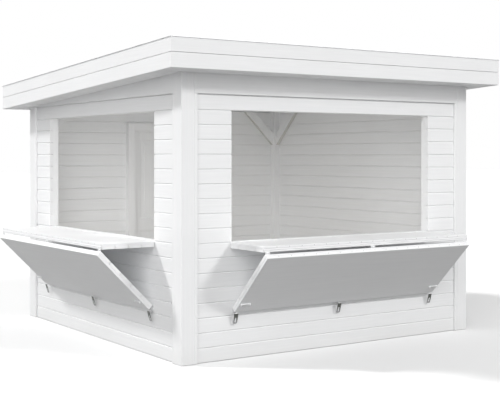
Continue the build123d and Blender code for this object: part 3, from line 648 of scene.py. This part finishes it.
def flap(name, half, front, back, count):
    """Flap that lies level at the sill: boards below, a smooth sheet above, and a glue line between."""
    edge = GLUE_SETBACK
    return joined(name, [
        eased(sawn("sheet", (-half, front, FLAP_SHEET_UNDER), (half, back, SILL)), 0.003, 3),
        sawn("glue_line", (edge - half, front + edge, GLUE_UNDER), (half - edge, back - edge, GLUE_TOP)),
        boarding("boards", (-half, front, FLAP_UNDER), (half, back, FLAP_BOARD_TOP), count, Y),
    ])


counter = flap("front_counter_flap_boards", COUNTER_HALF, COUNTER_FRONT, COUNTER_BACK, 4)
on_both_walls(counter, level_paint, "white_paint", "front_counter_flap", "front_counter")

# Brace flaps: the upper flap of each hatch, hinged to the counter's front edge and folded back to the wall.
# It is made as the counter is, and drawn here in line with the counter before it is folded under.
BRACE_EDGE, BRACE_ROOT, BRACE_HALF = -2.592, -1.952, 1.045
FOLD_AXIS = Vector((0, -1.949, 0.862))


def folded(piece):
    """Fold a piece of the brace flap down and back about the hinge line under the counter's front edge."""
    return moved(piece, turn_about(FOLD_AXIS, 135))


brace = folded(flap("front_brace_flap_boards", BRACE_HALF, BRACE_EDGE, BRACE_ROOT, 5))
on_both_walls(brace, level_paint, "white_paint", "front_brace_flap", "front_brace")

# Flap screws: flat heads along the counter's front edge and along the brace's edge at the fold.
# They fasten the smooth sheet to the boards, about one for each board width.
SCREW_STEP, SCREW_COUNT = 0.117, 17
COUNTER_SCREW_LEVEL, BRACE_SCREW_LEVEL = 0.9035, 0.8965


def screw_head(name, radius, rise=0.0009):
    """Low screw head that faces up at the origin: a softened rim and a sunk drive."""
    depth = 0.004
    head = added(
        bpy.ops.mesh.primitive_cylinder_add,
        vertices=12, radius=radius, depth=depth, location=(0, 0, rise - depth / 2),
    )
    head.name = head.data.name = name
    bpy.ops.object.mode_set(mode="EDIT")
    pick(head, "FACE", lambda face: face.normal.z > 0.99)
    bpy.ops.mesh.inset(thickness=radius * 0.25, depth=rise * 0.3)
    bpy.ops.mesh.inset(thickness=radius * 0.3)
    bpy.ops.mesh.inset(thickness=radius * 0.08, depth=-rise * 1.2)
    bpy.ops.object.mode_set(mode="OBJECT")
    return head


def set_in(piece, point, outward):
    """Turn a fitting that faces up so that it faces outward, and set it at a point."""
    turn = Vector(outward).to_track_quat("Z", "Y").to_matrix().to_4x4()
    return moved(piece, Matrix.Translation(point) @ turn)


def sheet_screws(name, y, z, out):
    """Row of screws along the edge of a flap, about a board width apart."""
    start = -SCREW_STEP * (SCREW_COUNT - 1) / 2
    first = set_in(screw_head(name, 0.0036), (start, y, z), (0, out, 0))
    return repeated(first, (SCREW_STEP, 0, 0), SCREW_COUNT)


screw_steel = sheet_metal("screw_steel", (0.66, 0.66, 0.66), 0.5, 300.0)
counter_screws = sheet_screws("front_counter_screws", COUNTER_FRONT, COUNTER_SCREW_LEVEL, -1)
brace_screws = folded(sheet_screws("front_brace_screws", BRACE_ROOT, BRACE_SCREW_LEVEL, 1))
on_both_walls(counter_screws, screw_steel, "galvanised_steel", "front_counter_flap")
on_both_walls(brace_screws, screw_steel, "galvanised_steel", "front_brace_flap")

# Hatch hinges: white enamelled butt hinges, three with five knuckles per sill and three with three per fold.
# The sill ones lie in the joint at the wall, and the small fold ones are screwed under the two flaps.
SILL_AXIS = Vector((0, -1.485, 0.915))
SILL_PLACE, FOLD_PLACE = 0.9284, 1.0219
SILL_KNUCKLE, FOLD_KNUCKLE = (0.004, 0.018), (0.0045, 0.0134)


def white_enamel(name):
    """Baked white enamel on metal: smooth, a little glossier than the paint, faintly pebbled."""
    finish, tree, shader = begun(name)
    place = add_node(tree, "TexCoord").outputs["Object"]
    pebble = add_node(tree, "TexNoise", Vector=place, Scale=260.0, Detail=3.0).outputs["Fac"]
    gloss = add_node(tree, "MapRange", Value=pebble, To_Min=0.22, To_Max=0.36)
    skin = add_node(tree, "Bump", Height=pebble, Strength=0.06, Distance=0.0003)
    feed(shader, Base_Color=ramp(tree, pebble, 0.3, (0.84, 0.845, 0.85), 0.7, (0.88, 0.885, 0.89)))
    feed(shader, Normal=skin.outputs["Normal"], Roughness=gloss.outputs["Result"])
    return finish


def knuckle(axis, start, radius, length):
    """One knuckle of a hinge along X, its rims softened."""
    middle = (axis.x + start + length / 2, axis.y, axis.z)
    barrel = added(
        bpy.ops.mesh.primitive_cylinder_add,
        vertices=20, radius=radius, depth=length, location=middle, rotation=(0, pi / 2, 0),
    )
    return eased(barrel, radius * 0.18)


def hinge_half(axis, radius, pitch, knuckles, plate_low, plate_high, screws=()):
    """Some knuckles of a hinge with the plate they are rolled from; places are measured from the axis."""
    parts = [knuckle(axis, plate_low[0] + number * pitch, radius, pitch - 0.0005) for number in knuckles]
    parts.append(eased(sawn("plate", axis + Vector(plate_low), axis + Vector(plate_high)), 0.0006))
    for point, outward in screws:
        parts.append(set_in(screw_head("screw", 0.0040, 0.0006), axis + Vector(point), outward))
    return joined("half", parts)


def three_of(name, half, place):
    """Hinge half made at the middle of a flap, repeated to stand at the middle and near both ends."""
    moved(half, Matrix.Translation((-place, 0, 0)))
    return joined(name, [repeated(half, (place, 0, 0), 3)])


def smoothed(piece, degrees=35):
    """Shade the round faces of a piece smooth and keep its sharper edges."""
    chosen(piece)
    bpy.ops.object.shade_smooth_by_angle(angle=radians(degrees))
    return piece


hinge_enamel = white_enamel("white_enamel")
wall_half = hinge_half(SILL_AXIS, *SILL_KNUCKLE, (0, 2, 4), (-0.045, 0.001, -0.032), (0.045, 0.003, -0.0005))
flap_half = hinge_half(SILL_AXIS, *SILL_KNUCKLE, (1, 3), (-0.045, -0.003, -0.032), (0.045, -0.001, -0.0035))
wall_hinges = three_of("front_sill_hinges", wall_half, SILL_PLACE)
sill_flap_hinges = three_of("sill_flap_hinges", flap_half, SILL_PLACE)
screws = [((x, y, 0.003), (0, 0, -1)) for x, y in ((-0.010, 0.034), (0.010, 0.034), (0, 0.020))]
counter_half = hinge_half(
    FOLD_AXIS, *FOLD_KNUCKLE, (0, 2), (-0.020, 0.001, 0.003), (0.020, 0.043, 0.005), screws
)
screws = [((x, -y, z), outward) for (x, y, z), outward in screws]
brace_half = hinge_half(
    FOLD_AXIS, *FOLD_KNUCKLE, (1,), (-0.020, -0.043, 0.003), (0.020, -0.001, 0.005), screws
)
fold_counter_hinges = three_of("fold_counter_hinges", counter_half, FOLD_PLACE)
brace_hinges = folded(three_of("front_brace_hinge_halves", brace_half, FOLD_PLACE))
counter_hinges = joined("front_counter_hinge_halves", [sill_flap_hinges, fold_counter_hinges])
for piece, body, node in (
    (wall_hinges, "building", "sill_hinges"),
    (counter_hinges, "front_counter_flap", "front_counter_hinges"),
    (brace_hinges, "front_brace_flap", "front_brace_hinges"),
):
    on_both_walls(smoothed(piece), hinge_enamel, "white_metal", body, node)

# Pulls: two bowed handles on each brace flap, bent from flat bar and enamelled white.
# Each stands on its two feet near the flap's free edge, and is screwed through from the boards.
PULL_PLACE, PULL_LINE = 0.9875, -2.496
PULL_BAR = (0.007, 0.014, 1)
PULL_RISE, PULL_BEND, PULL_GRIP = 0.016, 0.0105, 0.062


def bowed_pull(middle):
    """Flat bar that rises from one foot, bends over and comes down on the other."""
    foot = Vector((middle - PULL_BEND - PULL_GRIP / 2, PULL_LINE, SILL))
    pull = added(bpy.ops.mesh.primitive_plane_add, size=1, location=foot)
    bpy.ops.object.mode_set(mode="EDIT")
    bpy.ops.mesh.select_all(action="SELECT")
    bpy.ops.transform.resize(value=PULL_BAR, center_override=foot)
    extruded(0, 0, PULL_RISE)
    bend = foot + Vector((PULL_BEND, 0, PULL_RISE))
    bpy.ops.mesh.spin(steps=6, angle=pi / 2, center=bend, axis=(0, 1, 0))
    extruded(PULL_GRIP, 0, 0)
    bend.x += PULL_GRIP
    bpy.ops.mesh.spin(steps=6, angle=pi / 2, center=bend, axis=(0, 1, 0))
    extruded(0, 0, -PULL_RISE)
    bpy.ops.mesh.select_all(action="SELECT")
    bpy.ops.mesh.remove_doubles(threshold=0.00005)
    bpy.ops.mesh.normals_make_consistent(inside=False)
    bpy.ops.object.mode_set(mode="OBJECT")
    return eased(pull, 0.0022, 3)


pulls = folded(joined("front_brace_bow_pulls", [bowed_pull(-PULL_PLACE), bowed_pull(PULL_PLACE)]))
on_both_walls(smoothed(pulls, 40), hinge_enamel, "white_metal", "front_brace_flap", "front_brace_pulls")

# Hasps: galvanised straps on the boards under each brace flap, each one hanging at the flap's lower edge.
# Each is cut and bent from 3 mm sheet: a screwed wall plate with an arm and a roll, and a slotted strap.
HASP_ROOT = Vector((0, -BOARD_OUTER, 0.36497))
HASP_PLACE = 1.0234
HASP_SHEET, HASP_EASE = 0.003, 0.0004
HASP_HALF, STRAP_HALF, STRAP_FOOT = 0.011, 0.018, -0.090
STRAP_OUT, STRAP_LEAN = 0.0477, 16


def rounded_sheet(name, low, high, radius, corner=lambda edge: True, segments=5):
    """Flat sheet across Y with some of its corners rounded."""
    sheet = sawn(name, low, high)
    bpy.ops.object.mode_set(mode="EDIT")
    pick(sheet, "EDGE", lambda edge: abs(edge.verts[0].co.y - edge.verts[1].co.y) > 0.001 and corner(edge))
    bpy.ops.mesh.bevel(offset=radius, segments=segments, affect="EDGES")
    bpy.ops.object.mode_set(mode="OBJECT")
    return sheet


def bored(piece, cutter):
    """Cut the shape of one piece out of another, and drop the cutter."""
    cut = piece.modifiers.new("cut", "BOOLEAN")
    cut.operation, cut.object = "DIFFERENCE", cutter
    bpy.context.view_layer.objects.active = piece
    bpy.ops.object.modifier_apply(modifier="cut")
    bpy.data.objects.remove(cutter)
    return piece


def hasp_plate(middle):
    """Wall plate with two screws, and an arm out from its foot that ends in a roll."""
    low, high = (-HASP_HALF, -HASP_SHEET, -HASP_SHEET), (HASP_HALF, 0, 0.036)
    plate = rounded_sheet("plate", low, high, 0.008, lambda edge: edge.verts[0].co.z > 0)
    arm = sawn("arm", (-HASP_HALF, -0.0465, -HASP_SHEET), (HASP_HALF, 0, 0))
    roll = knuckle(Vector((0, -0.044, -0.002)), -STRAP_HALF, 0.0035, 2 * STRAP_HALF)
    screws = [set_in(screw_head("screw", 0.0036), (0, -HASP_SHEET, z), (0, -1, 0)) for z in (0.009, 0.027)]
    whole = joined("plate", [eased(plate, HASP_EASE, 1), eased(arm, HASP_EASE, 1), roll, *screws])
    return moved(whole, Matrix.Translation(HASP_ROOT + Vector((middle, 0, 0))))


def hasp_strap(middle):
    """Strap with rounded lower corners and a long slot, hung from the arm at a lean."""
    low, high = (-STRAP_HALF, 0, STRAP_FOOT), (STRAP_HALF, HASP_SHEET, -HASP_SHEET)
    strap = rounded_sheet("strap", low, high, 0.010, lambda edge: edge.verts[0].co.z < -0.08)
    slot = rounded_sheet("slot", (-0.007, -0.02, -0.078), (0.007, 0.02, -0.040), 0.0065)
    strap = eased(bored(strap, slot), HASP_EASE, 1)
    lean = Matrix.Rotation(radians(STRAP_LEAN), 4, "X")
    return moved(strap, Matrix.Translation(HASP_ROOT + Vector((middle, -STRAP_OUT, 0))) @ lean)


def painted_reflection_steel(name):
    """Zinc coated steel in a dark tone that turns paler towards the slot: painted reflection, darker above
    and lighter lower down.
    """
    # Painted reflection: the dark base tone and the paler grey lower down, towards the slot, stand in for
    # what the steel reflects.
    finish = sheet_metal(name, (0.13, 0.135, 0.125), 0.42, 210.0)
    tree = finish.node_tree
    shader = tree.nodes["Principled BSDF"]
    dull = shader.inputs["Base Color"].links[0].from_socket
    place = add_node(tree, "TexCoord").outputs["Object"]
    height = add_node(tree, "SeparateXYZ", Vector=place).outputs["Z"]
    painted_reflection_share = add_node(tree, "MapRange", Value=height, From_Min=0.322, From_Max=0.290).outputs["Result"]
    tone = add_node(tree, "MixRGB", Fac=painted_reflection_share, Color1=dull, Color2=(0.34, 0.34, 0.345, 1))
    feed(shader, Base_Color=tone.outputs["Color"])
    return finish


zinc = sheet_metal("zinc_plate", (0.80, 0.805, 0.81), 0.44, 210.0)
for name, make, metal in (
    ("front_hasp_plates", hasp_plate, zinc),
    ("front_hasp_straps", hasp_strap, painted_reflection_steel("painted_reflection_steel")),
):
    hasps = smoothed(joined(name, [make(x) for x in (-HASP_PLACE, 0, HASP_PLACE)]))
    on_both_walls(hasps, metal, "galvanised_steel", "building", "wall_hasps")

# Door hinges: three lift-off hinges of two stacked knuckles, the pin in the frame half.
# Both halves have flat plates on the outer faces of the jamb and the stile, with three screws each.
DOOR_AXIS_X, DOOR_AXIS_Y = -0.3875, 1.492
BARREL, BARREL_GAP, BARREL_RADIUS = 0.040, 0.0003, 0.007
PLATE_NEAR, PLATE_FAR, WEB_FAR = 0.0022, 0.034, 0.0055
PLATE_FACE = BOARD_OUTER + 0.0025
HINGE_HEIGHTS = (0.2601, 0.9645, 1.6689)
frame_halves, leaf_halves = [], []
for height in HINGE_HEIGHTS:
    for side, halves in ((-1, frame_halves), (1, leaf_halves)):
        low, high = [height + end for end in span(side, BARREL_GAP, BARREL)]
        barrel = added(
            bpy.ops.mesh.primitive_cylinder_add, vertices=24, radius=BARREL_RADIUS, depth=high - low,
            location=(DOOR_AXIS_X, DOOR_AXIS_Y, (low + high) / 2),
        )
        tip = height + side * BARREL
        bpy.ops.object.mode_set(mode="EDIT")
        pick(barrel, "FACE", lambda face: abs(face.calc_center_median().z - tip) < 0.0005)
        bpy.ops.mesh.inset(thickness=0.002, depth=0.0)
        bpy.ops.transform.translate(value=(0, 0, side * 0.003))
        bpy.ops.mesh.inset(thickness=0.002, depth=0.0015)
        bpy.ops.object.mode_set(mode="OBJECT")
        halves.append(eased(barrel, 0.0006))
        near, far = [DOOR_AXIS_X + end for end in span(side, PLATE_NEAR, PLATE_FAR)]
        halves.append(eased(sawn("plate", (near, BOARD_OUTER, low), (far, PLATE_FACE, high)), 0.0008))
        near, far = [DOOR_AXIS_X + end for end in span(side, PLATE_NEAR, WEB_FAR)]
        halves.append(eased(sawn("web", (near, PLATE_FACE - 0.0005, low), (far, DOOR_AXIS_Y, high)), 0.0006))
        for share, reach in ((0.2, 0.026), (0.5, 0.018), (0.8, 0.026)):
            point = (DOOR_AXIS_X + side * reach, PLATE_FACE, low + share * (high - low))
            halves.append(set_in(screw_head("screw", 0.0034), point, (0, 1, 0)))
door_steel = sheet_metal("door_steel", (0.56, 0.565, 0.57), 0.34, 60.0)
for name, halves, body, node in (
    ("door_hinge_frame_halves", frame_halves, "building", "door_hinges_frame"),
    ("door_hinge_leaf_halves", leaf_halves, "door", "door_hinges_leaf"),
):
    fitted(smoothed(joined(name, halves)), door_steel, "galvanised_steel", body, node)

# Door handles: a lever on a long rounded back plate on each face of the leaf, with a keyhole under it.
# The lever is a bent steel bar of 18 mm on a square spindle, and the plates are screwed through the stile.
HANDLE_X, HANDLE_Z = 0.3455, 1.0
HANDLE_PLATE, HANDLE_HALF, HANDLE_REACH = 0.004, 0.018, 0.100
KEYHOLE_FOOT, KEYHOLE_TOP = 0.922, 0.938
LEVER_ROOT, LEVER_OUT, LEVER_BEND, LEVER_RUN, LEVER_TIP = 0.003, 0.030, 0.015, 0.083, 0.003


def lever_handle(face, out):
    """Back plate with screws and a keyhole, and a lever that leaves it, bends and runs back over the leaf."""
    ys = sorted((face, face + out * HANDLE_PLATE))
    low = (HANDLE_X - HANDLE_HALF, ys[0], HANDLE_Z - HANDLE_REACH)
    high = (HANDLE_X + HANDLE_HALF, ys[1], HANDLE_Z + HANDLE_REACH)
    plate = rounded_sheet("plate", low, high, 0.0175, segments=6)
    low, high = (HANDLE_X - 0.002, face - 0.02, KEYHOLE_FOOT), (HANDLE_X + 0.002, face + 0.02, KEYHOLE_TOP)
    hole = sawn("keyhole", low, high)
    bow = added(
        bpy.ops.mesh.primitive_cylinder_add, vertices=16, radius=0.0045, depth=0.04,
        location=(HANDLE_X, face, KEYHOLE_TOP), rotation=(pi / 2, 0, 0),
    )
    parts = [eased(bored(bored(plate, hole), bow), 0.001)]
    for rise in (-0.087, 0.087):
        point = (HANDLE_X, face + out * HANDLE_PLATE, HANDLE_Z + rise)
        parts.append(set_in(screw_head("screw", 0.0038), point, (0, out, 0)))
    lever = added(
        bpy.ops.mesh.primitive_circle_add, vertices=24, radius=0.009, fill_type="NGON",
        location=(HANDLE_X, face + out * LEVER_ROOT, HANDLE_Z), rotation=(pi / 2, 0, 0),
    )
    bpy.ops.object.mode_set(mode="EDIT")
    bpy.ops.mesh.select_all(action="SELECT")
    extruded(0, out * (LEVER_OUT - LEVER_ROOT), 0)
    bend = (HANDLE_X - LEVER_BEND, face + out * LEVER_OUT, HANDLE_Z)
    bpy.ops.mesh.spin(steps=7, angle=out * pi / 2, center=bend, axis=(0, 0, 1))
    extruded(-LEVER_RUN, 0, 0)
    extruded(-LEVER_TIP, 0, 0)
    end = (bend[0] - LEVER_RUN - LEVER_TIP, face + out * (LEVER_OUT + LEVER_BEND), HANDLE_Z)
    bpy.ops.transform.resize(value=(1, 0.72, 0.72), center_override=end)
    bpy.ops.mesh.select_all(action="SELECT")
    bpy.ops.mesh.remove_doubles(threshold=0.00005)
    bpy.ops.mesh.normals_make_consistent(inside=False)
    bpy.ops.object.mode_set(mode="OBJECT")
    return parts + [lever]


handles = joined("door_lever_handles", lever_handle(BOARD_OUTER, 1) + lever_handle(LEAF_BACK, -1))
fitted(smoothed(handles), door_steel, "galvanised_steel", "door", "door_handles")

# Studio: a pale floor that keeps the kiosk's shadow, a white surround, and the photograph's camera angle.
# The key comes from the back left, a wide fill from the front left, a third from the front right, one inside.
PHOTO_WIDTH, PHOTO_HEIGHT = 500, 400
PHOTO_FOCUS = 1032.59
PHOTO_CENTRE_X, PHOTO_CENTRE_Y = 253.488, 155.878


def seen_rays(tree):
    """One for the rays that show the studio: to the camera, off a sheen, or through something clear."""
    path = add_node(tree, "LightPath").outputs
    either = combined(tree, "MAXIMUM", path["Is Camera Ray"], path["Is Glossy Ray"])
    return combined(tree, "MAXIMUM", either, path["Is Transmission Ray"])


bpy.ops.object.select_all(action="DESELECT")
bpy.ops.mesh.primitive_plane_add(size=160, location=(0, 0, -0.001))
floor = bpy.context.object
floor.name = "studio_floor"
pale, tree, shader = begun("studio_floor_pale")
dim, bright = (0.15, 0.15, 0.15, 1), (0.93, 0.93, 0.93, 1)
seen = add_node(tree, "MixRGB", Fac=seen_rays(tree), Color1=dim, Color2=bright)
feed(shader, Base_Color=seen.outputs["Color"], Roughness=0.9)
floor.data.materials.append(pale)

world = bpy.data.worlds.new("white_surround")
bpy.context.scene.world = world
world.use_nodes = True
tree = world.node_tree
level = add_node(tree, "MapRange", Value=seen_rays(tree), To_Min=0.45, To_Max=1.0)
feed(tree.nodes["Background"], Strength=level.outputs["Result"], Color=(1, 1, 1, 1))

for name, toward, strength, spread in (
    ("key_lamp", (-0.544, 0.468, 0.697), 1.74, 6),
    ("fill_lamp", (-0.656, -0.656, 0.375), 1.70, 60),
    ("front_lamp", (0.423, -0.733, 0.533), 1.02, 10),
):
    bpy.ops.object.light_add(type="SUN", rotation=Vector(toward).to_track_quat("Z", "Y").to_euler())
    lamp = bpy.context.object
    lamp.name = name
    lamp.data.energy, lamp.data.angle = strength, radians(spread)
bpy.ops.object.light_add(type="POINT", radius=0.6, location=(-0.4, -0.5, 1.65))
lamp = bpy.context.object
lamp.name = "room_lamp"
lamp.data.energy = 8.2
lamp.visible_camera = lamp.visible_glossy = False

bpy.ops.object.camera_add(location=(-5.391, -8.2395, 1.5834), rotation=(pi / 2, 0, -0.5933))
camera = bpy.context.object
camera.data.sensor_width = 36
camera.data.lens = camera.data.sensor_width * PHOTO_FOCUS / PHOTO_WIDTH
camera.data.shift_x = (PHOTO_WIDTH / 2 - PHOTO_CENTRE_X) / PHOTO_WIDTH
camera.data.shift_y = (PHOTO_CENTRE_Y - PHOTO_HEIGHT / 2) / PHOTO_WIDTH
bpy.context.scene.camera = camera
bpy.context.scene.view_settings.view_transform = "Standard"
bpy.context.scene.cycles.diffuse_bounces = bpy.context.scene.cycles.max_bounces = 16
